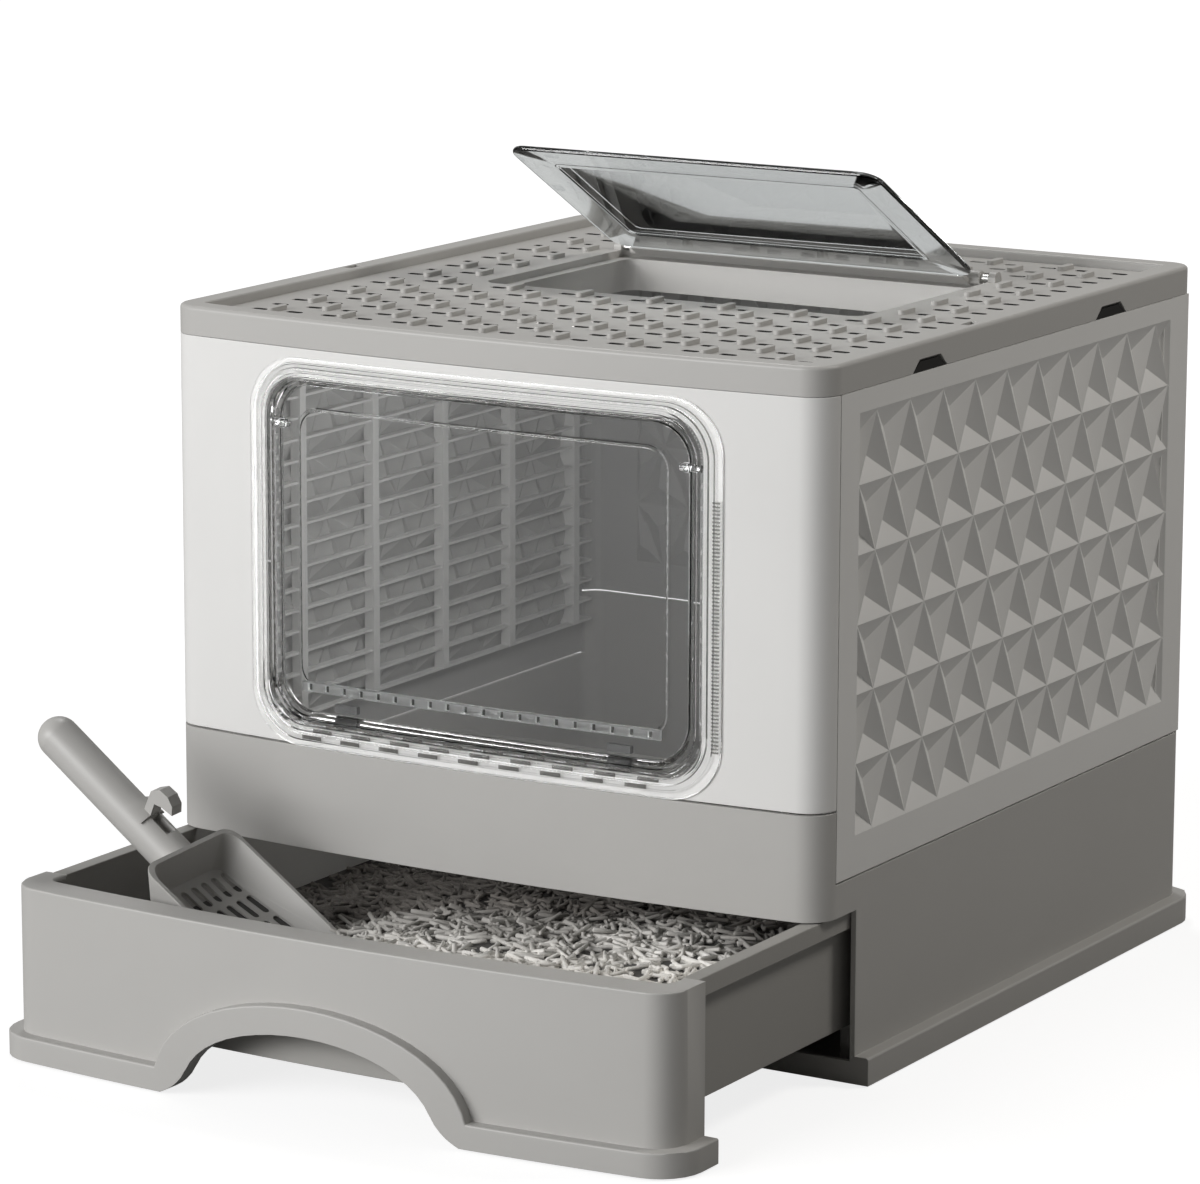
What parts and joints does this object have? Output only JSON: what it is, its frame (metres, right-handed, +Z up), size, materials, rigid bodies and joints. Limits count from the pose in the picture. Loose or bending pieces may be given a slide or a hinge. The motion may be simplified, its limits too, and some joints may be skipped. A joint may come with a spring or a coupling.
{
  "type": "litter box",
  "caption": "Top-entry pet litter box: panelled housing with clear swing door, lift-off lid with hatch, pull-out litter drawer and scoop.",
  "frame": {"origin": "centre of the housing's footprint, on the floor", "axes": "+Z up, +Y to the back, so the door and the drawer face -Y, and +X to the right seen from the front"},
  "size_m": [0.4305, 0.601, 0.4478],
  "materials": {
    "grey_plastic": "satin, lightly textured",
    "white_plastic": "satin",
    "dark_plastic": "matt",
    "clear_plastic": "clear",
    "smoked_plastic": "smoky clear",
    "steel": "plain",
    "litter": "short dry sticks"
  },
  "bodies": {
    "housing": {"base": "grey_plastic", "drawer_rails": "grey_plastic", "front_panel": "white_plastic", "left_panel": "white_plastic", "right_panel": "white_plastic", "rear_panel": "white_plastic", "window_frame": "clear_plastic", "frame_magnets": "steel", "lid_catches": "dark_plastic"},
    "lid": {"lid": "grey_plastic", "hatch_pins": "steel"},
    "hatch": {"hatch_bar": "grey_plastic", "hatch_flap": "smoked_plastic"},
    "front_door": {"door_pane": "clear_plastic", "door_pins": "clear_plastic", "door_magnets": "steel"},
    "drawer": {"drawer_front": "grey_plastic", "drawer_tub": "grey_plastic", "litter": "litter"},
    "scoop": {"scoop": "grey_plastic", "scoop_hook": "grey_plastic"}
  },
  "joints": [
    {"name": "lid_lift", "type": "slide", "parent": "housing", "child": "lid", "axis": [0, 0, 1], "range_m": [0, 0.3]},
    {"name": "hatch_hinge", "type": "hinge", "parent": "lid", "child": "hatch", "pos_m": [0, 0.122, 0.3745], "axis": [-1, 0, 0], "range_deg": [-30, 75]},
    {"name": "door_swing", "type": "hinge", "parent": "housing", "child": "front_door", "pos_m": [0, -0.21763, 0.3215], "axis": [1, 0, 0], "range_deg": [-80, 80]},
    {"name": "drawer_slide", "type": "slide", "parent": "housing", "child": "drawer", "axis": [0, -1, 0], "range_m": [-0.045, 0.16]},
    {"name": "scoop_lift", "type": "slide", "parent": "drawer", "child": "scoop", "axis": [0, 0, 1], "range_m": [0, 0.25]}
  ]
}
